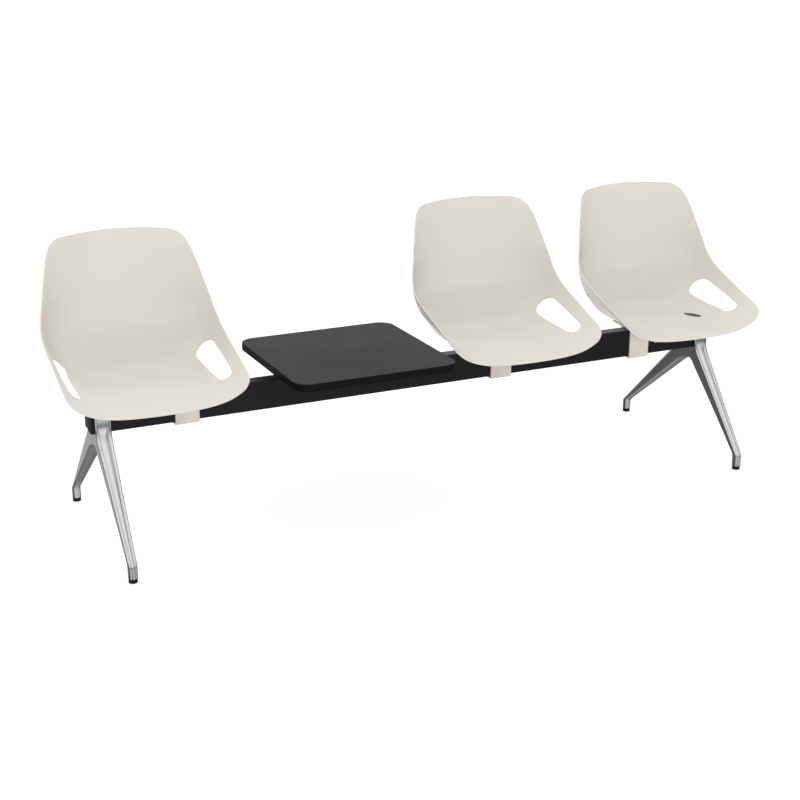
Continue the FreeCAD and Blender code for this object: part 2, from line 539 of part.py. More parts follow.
# ---------------------------------------------------------- seat carriers
for name in ("left", "middle", "right"):
    x, sx = "seat_%s_x" % name, "strap_%s_x" % name
    lo, hi = x + "-carrier_spine_half", x + "+carrier_spine_half"
    if name == "left":
        hi = sx + "+strap_half+3"
    if name == "right":
        lo = sx + "-strap_half-3"
    n = "carrier_%s_" % name
    solid = fuse(n + "body", [
        box(n + "spine", lo, hi, "carrier_plate_front_y", "carrier_rear_y", "strap_high", "carrier_top"),
        box(n + "front", x + "-carrier_front_half", x + "+carrier_front_half", "carrier_front_y", "carrier_front_back_y", "carrier_low", "carrier_step"),
        box(n + "front_top", x + "-carrier_plate_half", x + "+carrier_plate_half", "carrier_plate_front_y", "carrier_front_back_y", "carrier_step-1", "carrier_top"),
        box(n + "rear", x + "-carrier_rear_half", x + "+carrier_rear_half", "carrier_rear_front_y", "carrier_rear_y", "carrier_rear_low", "carrier_step"),
        box(n + "rear_top", x + "-carrier_plate_half", x + "+carrier_plate_half", "carrier_rear_front_y", "carrier_rear_y", "carrier_step-1", "carrier_top"),
        box(n + "rib_a", x + "-carrier_spine_half", x + "-carrier_spine_half+carrier_sheet", "carrier_front_back_y-1", "strap_front-5", "carrier_low", "carrier_top"),
        box(n + "rib_b", x + "+carrier_spine_half-carrier_sheet", x + "+carrier_spine_half", "carrier_front_back_y-1", "strap_front-5", "carrier_low", "carrier_top"),
    ])
    tools = [
        box(n + "front_hollow", x + "-carrier_front_half+carrier_sheet", x + "+carrier_front_half-carrier_sheet",
            "carrier_front_y+carrier_sheet", "carrier_front_back_y-carrier_sheet", "carrier_low-1", "carrier_step-carrier_sheet"),
        box(n + "rear_hollow", x + "-carrier_rear_half+carrier_sheet", x + "+carrier_rear_half-carrier_sheet",
            "carrier_rear_front_y+carrier_sheet", "carrier_rear_y-carrier_sheet", "carrier_low-1", "carrier_step-carrier_sheet"),
    ]
    spots = []
    for i, (px, py) in enumerate(((s1 + "boss_x", y) for s1 in ("-", "+") for y in ("boss_front_y", "boss_rear_y"))):
        spots.append((x + px, py, "carrier_step-carrier_sheet"))
        tools.append(cyl(n + "hole_%d" % i, x + px, py, "carrier_low", "boss_bore+0.3", "30"))
    for i, px in enumerate((sx + "-pinch_screw_x", sx + "+pinch_screw_x")):
        tools.append(cyl(n + "strap_hole_%d" % i, px, "pinch_screw_y", "carrier_low", "pinch_screw_hole", "30"))
    keep(cut(n + "cut", solid, tools), "seat_carrier_" + name)
    screws("carrier_screws_" + name, spots, "z", "shell_screw_radius", "boss_bore_top-0.6-carrier_step+carrier_sheet",
           "shell_screw_head", "3", "2")

# ------------------------------------------------------------------- table
b = body("table_top", x="table_mid_x", y="table_mid_y", z="table_low")
pad(b, rectangle(sketch(b, "XY_Plane", "table_plan"), "table_width", "table_depth"), "table_thick")
fillet(b, "table_corners", "table_corner", lambda m, e: along(e, "z"))
fillet(b, "table_rim", "table_edge", lambda m, e: m.z < 0.01 or m.z > val("table_thick") - 0.01)
s = sketch(b, "XY_Plane", "table_pilot_holes")
spots = []
for i, (px, py) in enumerate(((s1 + "table_screw_x", y) for s1 in ("-", "+") for y in ("table_screw_front_y", "table_screw_back_y"))):
    circle(s, "riser_x%s-table_mid_x" % px, py + "-table_mid_y", "table_screw_hole", "pilot_" + letters(i))
    spots.append(("riser_x" + px, py, "table_low-riser_sheet"))
pocket(b, s, "13", back=True)

x = "riser_x"
top, back = "(beam_mid_z+beam_height/2)", "(beam_mid_y+beam_depth/2)"
frame = cut("riser_frame", box("riser_plate", x + "-riser_half_x", x + "+riser_half_x", "riser_front_y", "riser_back_y", "table_low-riser_sheet", "table_low"), [
    box("riser_open_a", x + "-riser_half_x+riser_frame_wide", x + "+riser_half_x-riser_frame_wide", "riser_front_y+riser_frame_wide", "strap_front-20", "table_low-10", "table_low+5"),
    box("riser_open_b", x + "-riser_half_x+riser_frame_wide", x + "+riser_half_x-riser_frame_wide", "strap_rear+20", "riser_back_y-riser_frame_wide", "table_low-10", "table_low+5")])
# foot: sits on the beam, with a flange down its back and a wall at each end
riser = fuse("riser_body", [
    frame,
    box("riser_foot", x + "-riser_foot_half", x + "+riser_foot_half", "beam_mid_y-beam_depth/2+2", back + "+riser_sheet", top, top + "+riser_sheet"),
    box("riser_flange", x + "-riser_foot_half", x + "+riser_foot_half", back, back + "+riser_sheet", "riser_flange_low", top + "+riser_sheet"),
    box("riser_wall_a", x + "-riser_foot_half", x + "-riser_foot_half+riser_sheet", "strap_front-4", "strap_rear+4", top, "table_low"),
    box("riser_wall_b", x + "+riser_foot_half-riser_sheet", x + "+riser_foot_half", "strap_front-4", "strap_rear+4", top, "table_low")])
tools = [cyl("riser_hole_%d" % i, px, py, "table_low-10", "table_screw_hole+0.2", "20") for i, (px, py, _) in enumerate(spots)]
tools += [cyl("riser_top_hole_%d" % i, x + dx, "beam_mid_y", top + "-5", "foot_screw_radius+0.3", "12")
          for i, dx in enumerate(("-foot_screw_x", "+foot_screw_x"))]
tools += [cyl("riser_back_hole_%d" % i, x + dx, back + "-5", "foot_screw_z", "foot_screw_radius+0.3", "12", "y")
          for i, dx in enumerate(("-foot_screw_x", "+foot_screw_x"))]
keep(cut("riser_cut", riser, tools), "table_riser")
made = []
for i, dx in enumerate(("-foot_screw_x", "+foot_screw_x")):
    y, z = "beam_mid_y", top + "+riser_sheet"
    made.append(fuse("foot_screw_top_%d" % i, [cyl("fst_shank_%d" % i, x + dx, y, z, "foot_screw_radius", "riser_sheet+beam_wall+3", "-z"),
                                               cyl("fst_head_%d" % i, x + dx, y, z, "5.4", "3.2")]))
    y, z = back + "+riser_sheet", "foot_screw_z"
    made.append(fuse("foot_screw_back_%d" % i, [cyl("fsb_shank_%d" % i, x + dx, y, z, "foot_screw_radius", "riser_sheet+beam_wall+3", "-y"),
                                                cyl("fsb_head_%d" % i, x + dx, y, z, "5.4", "3.2", "y")]))
keep(group("table_foot_screws_set", made), "table_foot_screws")
screws("table_screws", spots, "z", "table_screw_radius", "riser_sheet+12", "table_screw_head", "2.6", "1.6")

# ------------------------------------------------------------- seat shells


def smooth(xs, ys):
    """Natural cubic spline through the stations."""
    n = len(xs)
    m = [0.0] * n
    c, d = [0.0] * n, [0.0] * n
    for i in range(1, n - 1):
        a, w = xs[i] - xs[i - 1], xs[i + 1] - xs[i]
        rhs = 6 * ((ys[i + 1] - ys[i]) / w - (ys[i] - ys[i - 1]) / a)
        p = 2 * (a + w) - a * c[i - 1]
        c[i] = w / p
        d[i] = (rhs - a * d[i - 1]) / p
    for i in range(n - 2, 0, -1):
        m[i] = d[i] - c[i] * m[i + 1]

    def f(x):
        i = max(0, min(n - 2, next((k for k in range(n - 1) if x <= xs[k + 1]), n - 2)))
        w = xs[i + 1] - xs[i]
        u, v = (xs[i + 1] - x) / w, (x - xs[i]) / w
        return u * ys[i] + v * ys[i + 1] + ((u ** 3 - u) * m[i] + (v ** 3 - v) * m[i + 1]) * w * w / 6
    return f


def steady(xs, ys):
    """Piecewise cubic that never overshoots its stations."""
    n = len(xs)
    w = [xs[i + 1] - xs[i] for i in range(n - 1)]
    e = [(ys[i + 1] - ys[i]) / w[i] for i in range(n - 1)]
    g = [e[0]] + [0.0] * (n - 2) + [e[-1]]
    for i in range(1, n - 1):
        if e[i - 1] * e[i] > 0:
            a, c = 2 * w[i] + w[i - 1], w[i] + 2 * w[i - 1]
            g[i] = (a + c) / (a / e[i - 1] + c / e[i])

    def f(x):
        i = max(0, min(n - 2, next((k for k in range(n - 1) if x <= xs[k + 1]), n - 2)))
        t = (x - xs[i]) / w[i]
        return (ys[i] * (1 + 2 * t) * (1 - t) ** 2 + ys[i + 1] * t * t * (3 - 2 * t)
                + w[i] * (g[i] * t * (1 - t) ** 2 - g[i + 1] * t * t * (1 - t)))
    return f


stations = [[val("shell_%s_%s" % (key, letters(i))) for key in STATION_KEYS] for i in range(len(STATIONS))]
run = [0.0]
for p, q in zip(stations, stations[1:]):
    run.append(run[-1] + math.hypot(q[0] - p[0], q[1] - p[1]))
column = list(zip(*stations))
LINES = [smooth(run, column[0]), smooth(run, column[1])] + [steady(run, column[k]) for k in range(2, 6)]


def on_shell(s, across):
    my, mz, ry, rz, half, turn = [f(s) for f in LINES]
    k = abs(across) ** turn
    return V(across * half, my + (ry - my) * k, mz + (rz - mz) * k)


def under_shell(s, across, depth):
    if depth == 0:
        return on_shell(s, across)
    n = (on_shell(s, across + 1e-3) - on_shell(s, across - 1e-3)).cross(on_shell(s + 0.5, across) - on_shell(s - 0.5, across))
    n.normalize()
    return on_shell(s, across) - n * depth


HALF = (0, 0.14, 0.28, 0.4, 0.5, 0.58, 0.65, 0.71, 0.765, 0.815, 0.86, 0.9, 0.935, 0.965, 0.985, 1.0)
ACROSS = [-t for t in reversed(HALF[1:])] + list(HALF)
steps = 46
RUNS = [run[-1] * i / (steps - 1) for i in range(steps)]


def skin(upper, lower):
    """Closed solid between two depths under the sitter's side."""
    faces = []
    for depth in (upper, lower):
        surf = Part.BSplineSurface()
        surf.interpolate([[under_shell(s, a, depth) for a in ACROSS] for s in RUNS])
        faces.append(surf.toShape())
    sides = [Part.makeRuledSurface(a, c) for a, c in zip(faces[0].Edges, faces[1].Edges)]
    shape = Part.makeShell(faces + [f for r in sides for f in r.Faces])
    shape.sewShape()
    solid = Part.makeSolid(shape.Shells[0] if shape.Shells else shape)
    if solid.Volume < 0:
        solid.reverse()
    return solid


def corner_tools():
    # front edge: shallow bow, then a round corner into the side
    bow, mid_y, r = val("front_bow"), val("front_mid_y"), val("front_corner")
    edge = 239.2
    cx = edge - r
    px = cx
    for _ in range(30):
        slope = math.asin(px / bow)
        px = cx + r * math.sin(slope)
    py = mid_y + bow - math.sqrt(bow * bow - px * px)
    cy = py + r * math.cos(slope)
    a45 = V(cx + r * math.sin(math.radians(48)), cy - r * math.cos(math.radians(48)), 0)

    def flip(p):
        return V(-p.x, p.y, p.z)
    p0, p1, p2 = V(px, py, 0), a45, V(edge, cy, 0)
    wire = Part.Wire([
        Part.Arc(flip(p0), V(0, mid_y, 0), p0).toShape(), Part.Arc(p0, p1, p2).toShape(),
        Part.LineSegment(p2, V(300, cy, 0)).toShape(), Part.LineSegment(V(300, cy, 0), V(300, -320, 0)).toShape(),
        Part.LineSegment(V(300, -320, 0), V(-300, -320, 0)).toShape(), Part.LineSegment(V(-300, -320, 0), V(-300, cy, 0)).toShape(),
        Part.LineSegment(V(-300, cy, 0), flip(p2)).toShape(), Part.Arc(flip(p2), flip(p1), flip(p0)).toShape()])
    front = Part.Face(wire).extrude(V(0, 0, 160))
    front.translate(V(0, 0, 380))
    # top edge: nearly straight, then a wide round corner
    bow, mid_z, r = val("top_bow"), val("top_mid_z"), val("top_corner")
    cx, cz = val("top_corner_x"), val("top_corner_z")
    a0, a1, a2 = math.radians(86), math.radians(50), math.radians(16)
    q = [V(cx + r * math.cos(a), 0, cz + r * math.sin(a)) for a in (a0, a1, a2)]
    wire = Part.Wire([
        Part.Arc(flip(q[0]), V(0, 0, mid_z), q[0]).toShape(), Part.Arc(q[0], q[1], q[2]).toShape(),
        Part.LineSegment(q[2], V(300, 0, q[2].z)).toShape(), Part.LineSegment(V(300, 0, q[2].z), V(300, 0, 900)).toShape(),
        Part.LineSegment(V(300, 0, 900), V(-300, 0, 900)).toShape(), Part.LineSegment(V(-300, 0, 900), V(-300, 0, q[2].z)).toShape(),
        Part.LineSegment(V(-300, 0, q[2].z), flip(q[2])).toShape(), Part.Arc(flip(q[2]), flip(q[1]), flip(q[0])).toShape()])
    top = Part.Face(wire).extrude(V(0, 400, 0))
    # grip slots through both wings
    curve = Part.BSplineCurve()
    curve.interpolate(Points=[V(120, val("slot_y_" + letters(i)), val("slot_z_" + letters(i))) for i in range(len(SLOT))], PeriodicFlag=True)
    slot = Part.Face(Part.Wire([curve.toShape()])).extrude(V(160, 0, 0))
    return [front, top, slot, slot.mirror(V(0, 0, 0), V(1, 0, 0))]


blank = skin(0, val("shell_thick"))
if not blank.isValid():
    raise RuntimeError("shell blank isn't valid")
trimmed = blank.cut(corner_tools())
bosses = []
for sx in (-1, 1):
    for y, top in ((val("boss_front_y"), val("boss_bore_top") + 0.6), (val("boss_rear_y"), val("boss_bore_top") + 1.4)):
        low = val("carrier_top")
        spot = V(sx * val("boss_x"), y, low)
        bosses.append((Part.makeCylinder(val("boss_radius"), top - low, spot),
                       Part.makeCylinder(val("boss_bore"), val("boss_bore_top") - low, spot)))
seat = trimmed.fuse([c for c, _ in bosses]).cut([h for _, h in bosses])
seat = max(seat.Solids, key=lambda q: q.Volume)


def oval(long_half, short_half):
    e = Part.Ellipse(V(0, 0, 0), long_half, short_half)
    f = Part.Face(Part.Wire([e.toShape()])).extrude(V(0, 0, 120))
    f.rotate(V(0, 0, 0), V(0, 0, 1), val("plug_turn"))
    f.translate(V(val("plug_x") - val("seat_right_x"), val("plug_y"), 380))
    return f


for name in ("left", "middle", "right"):
    f = doc.addObject("Part::Feature", "seat_shell_" + name)
    shape = seat.copy()
    if name == "right":
        shape = shape.cut(oval(val("plug_long"), val("plug_short")))
        shape = max(shape.Solids, key=lambda q: q.Volume)
    f.Shape = shape
    place(f, x="seat_%s_x" % name)
    keep(f, "seat_shell_" + name)

f = doc.addObject("Part::Feature", "drain_plug_right")
plug = skin(val("plug_recess"), val("shell_thick")).common(oval(val("plug_long") - val("plug_gap"), val("plug_short") - val("plug_gap")))
f.Shape = max(plug.Solids, key=lambda q: q.Volume)
place(f, x="seat_right_x")
keep(f, "drain_plug_right")

# ------------------------------------------------------- check, then write
doc.recompute()
bad = [o.Name for o in doc.Objects if "Invalid" in o.State or "Error" in o.State]
if bad:
    raise RuntimeError("failed objects: " + ", ".join(bad))
for obj in KEEP:
    if obj.Shape.isNull() or not obj.Shape.isValid() or not obj.Shape.Solids:
        raise RuntimeError("bad shape: " + obj.Label)
labels = [o.Label for o in KEEP]
if len(set(labels)) != len(labels):
    raise RuntimeError("two sub-parts share a label")
os.makedirs("parts", exist_ok=True)
for obj in KEEP:
    obj.Shape.exportStep("parts/%s.step" % obj.Label)
whole = FreeCAD.BoundBox()
for obj in KEEP:
    whole.add(obj.Shape.BoundBox)
print("sub-parts:", len(KEEP))
print("box: x %.1f..%.1f  y %.1f..%.1f  z %.1f..%.1f" % (whole.XMin, whole.XMax, whole.YMin, whole.YMax, whole.ZMin, whole.ZMax))
for obj in KEEP:
    bb = obj.Shape.BoundBox
    print("%-28s solids %d  volume %9.0f  x %.1f..%.1f y %.1f..%.1f z %.1f..%.1f" % (
        obj.Label, len(obj.Shape.Solids), obj.Shape.Volume, bb.XMin, bb.XMax, bb.YMin, bb.YMax, bb.ZMin, bb.ZMax))
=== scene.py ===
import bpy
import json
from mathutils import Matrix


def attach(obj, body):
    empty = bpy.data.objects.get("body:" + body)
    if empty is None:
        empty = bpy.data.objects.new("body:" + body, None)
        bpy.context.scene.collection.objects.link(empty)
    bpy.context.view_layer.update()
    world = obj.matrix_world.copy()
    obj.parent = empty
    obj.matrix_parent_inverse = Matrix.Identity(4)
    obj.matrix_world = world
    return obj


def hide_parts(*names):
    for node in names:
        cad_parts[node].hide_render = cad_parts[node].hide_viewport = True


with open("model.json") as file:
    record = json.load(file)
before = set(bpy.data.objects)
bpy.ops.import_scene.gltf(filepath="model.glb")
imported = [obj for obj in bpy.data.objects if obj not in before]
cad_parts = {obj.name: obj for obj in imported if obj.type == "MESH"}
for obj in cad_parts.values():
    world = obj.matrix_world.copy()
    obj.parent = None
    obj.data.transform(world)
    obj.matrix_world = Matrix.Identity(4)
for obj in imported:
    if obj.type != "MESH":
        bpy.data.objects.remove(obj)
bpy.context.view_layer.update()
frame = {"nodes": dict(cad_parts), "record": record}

import json
import math
import bmesh
import bpy
import numpy as np
from mathutils import Matrix, Vector

MM = 0.001
scene = bpy.context.scene
ROOT = "frame"

# ------------------------------------------------------------------ camera
cam_data = bpy.data.cameras.new("camera")
cam = bpy.data.objects.new("camera", cam_data)
scene.collection.objects.link(cam)
cam.location = (-1.7927, -3.717, 1.650)
cam.rotation_euler = (math.radians(90 - 18.55), 0, math.radians(-25.11))
cam_data.sensor_width = 36
cam_data.lens = 1482.8 * 36 / 800
cam_data.clip_start, cam_data.clip_end = 0.05, 60
scene.camera = cam

# ---------------------------------------------------------------- materials


def material(name, colour, rough, metallic=0.0, build=None, **sockets):
    m = bpy.data.materials.new(name)
    m.use_nodes = True
    nt = m.node_tree
    b = nt.nodes["Principled BSDF"]
    b.inputs["Base Color"].default_value = (*colour, 1)
    b.inputs["Roughness"].default_value = rough
    b.inputs["Metallic"].default_value = metallic
    for key, value in sockets.items():
        b.inputs[key.replace("_", " ")].default_value = value
    if build:
        build(nt, b, colour, rough)
    return m


def coords(nt):
    return nt.nodes.new("ShaderNodeTexCoord").outputs["Object"]


def noise(nt, vec, scale, detail=4, rough=0.5, distortion=0.0):
    n = nt.nodes.new("ShaderNodeTexNoise")
    n.inputs["Scale"].default_value = scale
    n.inputs["Detail"].default_value = detail
    n.inputs["Roughness"].default_value = rough
    n.inputs["Distortion"].default_value = distortion
    nt.links.new(vec, n.inputs["Vector"])
    return n.outputs["Fac"]


def ramp(nt, fac, stops):
    r = nt.nodes.new("ShaderNodeValToRGB")
    while len(r.color_ramp.elements) < len(stops):
        r.color_ramp.elements.new(0.5)
    for e, (p, c) in zip(r.color_ramp.elements, stops):
        e.position = p
        e.color = (*c, 1) if len(c) == 3 else c
    nt.links.new(fac, r.inputs["Fac"])
    return r.outputs["Color"]


def spread(nt, fac, lo, hi, a=0.3, b=0.7):
    m = nt.nodes.new("ShaderNodeMapRange")
    m.inputs["From Min"].default_value = a
    m.inputs["From Max"].default_value = b
    m.inputs["To Min"].default_value = lo
    m.inputs["To Max"].default_value = hi
    nt.links.new(fac, m.inputs["Value"])
    return m.outputs["Result"]


def bump(nt, b, height, strength, distance, chain=None):
    n = nt.nodes.new("ShaderNodeBump")
    n.inputs["Strength"].default_value = strength
    n.inputs["Distance"].default_value = distance
    nt.links.new(height, n.inputs["Height"])
    if chain is not None:
        nt.links.new(chain, n.inputs["Normal"])
    nt.links.new(n.outputs["Normal"], b.inputs["Normal"])
    return n.outputs["Normal"]


def shell_nodes(nt, b, colour, rough):
    v = coords(nt)
    # moulded grain, faint flow marks, and handling that polishes some patches
    grain = noise(nt, v, 900, 3, 0.55)
    flow = noise(nt, v, 4.5, 3, 0.5, 0.4)
    touch = noise(nt, v, 14, 5, 0.6)
    c0 = tuple(k * 0.985 for k in colour)
    c1 = tuple(min(1, k * 1.012) for k in colour)
    nt.links.new(ramp(nt, flow, [(0.3, c0), (0.7, c1)]), b.inputs["Base Color"])
    nt.links.new(spread(nt, touch, rough - 0.05, rough + 0.05), b.inputs["Roughness"])
    n = bump(nt, b, grain, 0.22, 0.00012)
    bump(nt, b, noise(nt, v, 60, 2), 0.06, 0.0004, n)


def powder_nodes(nt, b, colour, rough):
    v = coords(nt)
    orange = noise(nt, v, 700, 2, 0.5)
    cloud = noise(nt, v, 9, 4, 0.55)
    c0 = tuple(k * 0.86 for k in colour)
    c1 = tuple(k * 1.15 for k in colour)
    nt.links.new(ramp(nt, cloud, [(0.3, c0), (0.7, c1)]), b.inputs["Base Color"])
    nt.links.new(spread(nt, orange, rough - 0.06, rough + 0.06), b.inputs["Roughness"])
    bump(nt, b, orange, 0.35, 0.00015)


def laminate_nodes(nt, b, colour, rough):
    v = coords(nt)
    fine = noise(nt, v, 1300, 2, 0.6)
    cloud = noise(nt, v, 6, 5, 0.6)
    c0 = tuple(k * 0.93 for k in colour)
    c1 = tuple(k * 1.07 for k in colour)
    nt.links.new(ramp(nt, cloud, [(0.3, c0), (0.7, c1)]), b.inputs["Base Color"])
    nt.links.new(spread(nt, cloud, rough - 0.025, rough + 0.025), b.inputs["Roughness"])
    bump(nt, b, fine, 0.3, 0.0001)


def cast_nodes(nt, b, colour, rough):
    v = coords(nt)
    polish = nt.nodes.new("ShaderNodeMapping")
    polish.inputs["Scale"].default_value = (1, 0.15, 0.15)
    nt.links.new(v, polish.inputs["Vector"])
    lines = noise(nt, polish.outputs["Vector"], 900, 4, 0.6)
    cloud = noise(nt, v, 22, 4, 0.55)
    nt.links.new(ramp(nt, cloud, [(0.25, tuple(k * 0.94 for k in colour)), (0.75, colour)]), b.inputs["Base Color"])
    nt.links.new(spread(nt, cloud, rough - 0.04, rough + 0.06), b.inputs["Roughness"])
    n = bump(nt, b, lines, 0.10, 0.00006)
    bump(nt, b, noise(nt, v, 35, 2), 0.10, 0.0006, n)


def zinc_nodes(nt, b, colour, rough):
    v = coords(nt)
    flakes = noise(nt, v, 420, 3, 0.6)
    nt.links.new(ramp(nt, flakes, [(0.3, tuple(k * 0.8 for k in colour)), (0.7, colour)]), b.inputs["Base Color"])
    nt.links.new(spread(nt, flakes, rough - 0.08, rough + 0.08), b.inputs["Roughness"])
    bump(nt, b, flakes, 0.1, 0.0001)


def plastic_nodes(nt, b, colour, rough):
    v = coords(nt)
    grain = noise(nt, v, 1100, 2, 0.5)
    cloud = noise(nt, v, 30, 4, 0.5)
    nt.links.new(ramp(nt, cloud, [(0.3, tuple(k * 0.85 for k in colour)), (0.7, tuple(k * 1.15 for k in colour))]), b.inputs["Base Color"])
    nt.links.new(spread(nt, cloud, rough - 0.05, rough + 0.05), b.inputs["Roughness"])
    bump(nt, b, grain, 0.25, 0.0001)


IVORY = (0.712, 0.682, 0.618)
MATS = {
    "shell_plastic": material("shell_plastic", IVORY, 0.42, build=shell_nodes, Subsurface_Weight=0.0),
    "beige_steel": material("beige_steel", (0.685, 0.642, 0.568), 0.38, build=powder_nodes),
    "black_steel": material("black_steel", (0.006, 0.006, 0.0065), 0.3, build=powder_nodes, Specular_IOR_Level=0.3),
    "black_plastic": material("black_plastic", (0.010, 0.010, 0.010), 0.5, build=plastic_nodes, Specular_IOR_Level=0.25),
    "black_gloss": material("black_gloss", (0.02, 0.024, 0.024), 0.22, build=plastic_nodes),
    "polished_alu": material("polished_alu", (0.84, 0.85, 0.865), 0.14, 1.0, build=cast_nodes),
    "table_laminate": material("table_laminate", (0.0045, 0.0045, 0.0047), 0.42, build=laminate_nodes, Specular_IOR_Level=0.135),
    "black_rubber": material("black_rubber", (0.02, 0.02, 0.02), 0.75, build=plastic_nodes),
    "zinc_steel": material("zinc_steel", (0.62, 0.63, 0.65), 0.3, 1.0, build=zinc_nodes),
}
for sub in frame["record"]["subparts"]:
    node = frame["nodes"][sub["node"]]
    node.data.materials.clear()
    node.data.materials.append(MATS[sub["material_slot"]])


def soften(node, width, angle=30, segments=3):
    """Small bevels on a carried-over piece, so that its edges catch light."""
    o = frame["nodes"][node]
    w = o.modifiers.new("weld", "WELD")
    w.merge_threshold = 1e-5
    m = o.modifiers.new("edge", "BEVEL")
    m.width = width * MM
    m.segments = segments
    m.limit_method = "ANGLE"
    m.angle_limit = math.radians(angle)
    m.harden_normals = False
    m.use_clamp_overlap = True
    for p in o.data.polygons:
        p.use_smooth = True
    n = o.modifiers.new("normals", "WEIGHTED_NORMAL")
    n.keep_sharp = False


def mesh_object(name, verts, faces, mat, normals=None, smooth=True):
    me = bpy.data.meshes.new(name)
    me.from_pydata([tuple(v) for v in verts], [], faces)
    me.validate()
    me.update()
    me.materials.append(MATS[mat])
    if smooth:
        me.polygons.foreach_set("use_smooth", [True] * len(me.polygons))
    if normals is not None:
        me.normals_split_custom_set_from_vertices([tuple(n) for n in normals])
    o = bpy.data.objects.new(name, me)
    scene.collection.objects.link(o)
    return o


# -------------------------------------------------------------- seat shells
# stations: middle line (y, z), rim (y, z, half width), how late the wing turns up
STATIONS = np.array([
    (-262, 413.0, -262, 458.0, 238.0, 4.8), (-252, 419.5, -252, 461.5, 238.2, 4.8),
    (-238, 424.0, -238, 466.5, 238.4, 4.8), (-215, 427.0, -216, 474.0, 238.6, 4.8),
    (-170, 428.6, -171, 491.0, 238.8, 4.8), (-110, 428.2, -113, 511.0, 239.0, 4.8),
    (-50, 427.4, -64, 529.0, 239.0, 4.8), (5, 427.8, -25, 543.0, 239.0, 4.8),
    (40, 430.5, -2, 552.5, 239.0, 4.85), (65, 438.5, 14, 559.5, 239.0, 4.95),
    (82, 453.0, 28, 567.0, 238.9, 5.3), (92, 474.0, 38.5, 573.5, 238.6, 6.2),
    (101, 503.0, 47, 581.0, 237.9, 7.6), (109, 535.0, 54.5, 589.0, 236.7, 8.0),
    (117, 565.0, 62, 599.0, 234.6, 7.6), (126, 590.0, 69, 611.0, 232.4, 6.8),
    (133, 612.0, 74, 624.0, 230.0, 5.9), (145, 650.0, 85, 654.0, 223.0, 4.3),
    (158, 690.0, 100, 690.0, 214.5, 3.3), (173, 730.0, 114.5, 727.0, 205.5, 2.7),
    (189, 770.0, 131, 763.0, 195.2, 2.3), (207, 811.0, 151, 800.0, 185.0, 2.1),
    (217, 832.0, 161, 820.0, 180.0, 2.1)], float)
SLOT = np.array([
    (-120, 452.6), (-76.2, 454.8), (-20.2, 457.9), (24.9, 461.6), (53.8, 468.2), (65.9, 477.7),
    (68.1, 490.8), (63, 502.6), (49.3, 510.7), (27.2, 512.7), (0.8, 506.5), (-39.2, 497),
    (-81.2, 486.8), (-116.1, 477.5), (-136.2, 470.9), (-141.7, 462.5), (-137.2, 456.4)], float)
THICK = 4.5


def smooth_line(xs, ys):
    n = len(xs)
    a = np.zeros((n, n))
    r = np.zeros(n)
    a[0, 0] = a[-1, -1] = 1
    for i in range(1, n - 1):
        p, q = xs[i] - xs[i - 1], xs[i + 1] - xs[i]
        a[i, i - 1:i + 2] = p, 2 * (p + q), q
        r[i] = 6 * ((ys[i + 1] - ys[i]) / q - (ys[i] - ys[i - 1]) / p)
    m = np.linalg.solve(a, r)

    def f(x):
        i = np.clip(np.searchsorted(xs, x, side="left") - 1, 0, n - 2)
        w = xs[i + 1] - xs[i]
        u, v = (xs[i + 1] - x) / w, (x - xs[i]) / w
        return u * ys[i] + v * ys[i + 1] + ((u ** 3 - u) * m[i] + (v ** 3 - v) * m[i + 1]) * w * w / 6
    return f


def steady_line(xs, ys):
    w = np.diff(xs)
    e = np.diff(ys) / w
    g = np.concatenate([[e[0]], np.zeros(len(xs) - 2), [e[-1]]])
    for i in range(1, len(xs) - 1):
        if e[i - 1] * e[i] > 0:
            a, c = 2 * w[i] + w[i - 1], w[i] + 2 * w[i - 1]
            g[i] = (a + c) / (a / e[i - 1] + c / e[i])

    def f(x):
        i = np.clip(np.searchsorted(xs, x, side="left") - 1, 0, len(xs) - 2)
        t = (x - xs[i]) / w[i]
        return (ys[i] * (1 + 2 * t) * (1 - t) ** 2 + ys[i + 1] * t * t * (3 - 2 * t)
                + w[i] * (g[i] * t * (1 - t) ** 2 - g[i + 1] * t * t * (1 - t)))
    return f


RUN = np.concatenate([[0], np.cumsum(np.hypot(np.diff(STATIONS[:, 0]), np.diff(STATIONS[:, 1])))])
LINES = [smooth_line(RUN, STATIONS[:, k]) for k in (0, 1)] + [steady_line(RUN, STATIONS[:, k]) for k in (2, 3, 4, 5)]


def surface(s, xi):
    my, mz, ry, rz, half, turn = [f(s) for f in LINES]
    k = np.abs(xi) ** turn
    return np.stack([xi * half, my + (ry - my) * k, mz + (rz - mz) * k], -1)


def surface_normal(s, xi):
    a = surface(s, xi + 1e-3) - surface(s, xi - 1e-3)
    b = surface(s + 0.4, xi) - surface(s - 0.4, xi)
    n = np.cross(a, b)
    return n / np.linalg.norm(n, axis=-1, keepdims=True)


def closed_curve(points, count):
    """Smooth closed curve through the points, chord-length Catmull-Rom."""
    out = []
    n = len(points)
    per = count // n
    for i in range(n):
        p0, p1, p2, p3 = points[i - 1], points[i], points[(i + 1) % n], points[(i + 2) % n]
        d1, d2, d3 = [max(np.linalg.norm(b - a), 1e-6) ** 0.5 for a, b in ((p0, p1), (p1, p2), (p2, p3))]
        m1 = (p1 - p0) / d1 - (p2 - p0) / (d1 + d2) + (p2 - p1) / d2
        m2 = (p2 - p1) / d2 - (p3 - p1) / (d2 + d3) + (p3 - p2) / d3
        for t in np.arange(per) / per:
            h = (2 * t ** 3 - 3 * t ** 2 + 1, (t ** 3 - 2 * t ** 2 + t) * d2, -2 * t ** 3 + 3 * t ** 2, (t ** 3 - t ** 2) * d2)
            out.append(h[0] * p1 + h[1] * m1 + h[2] * p2 + h[3] * m2)
    return np.array(out)


SLOT_CURVE = closed_curve(SLOT, 17 * 14)


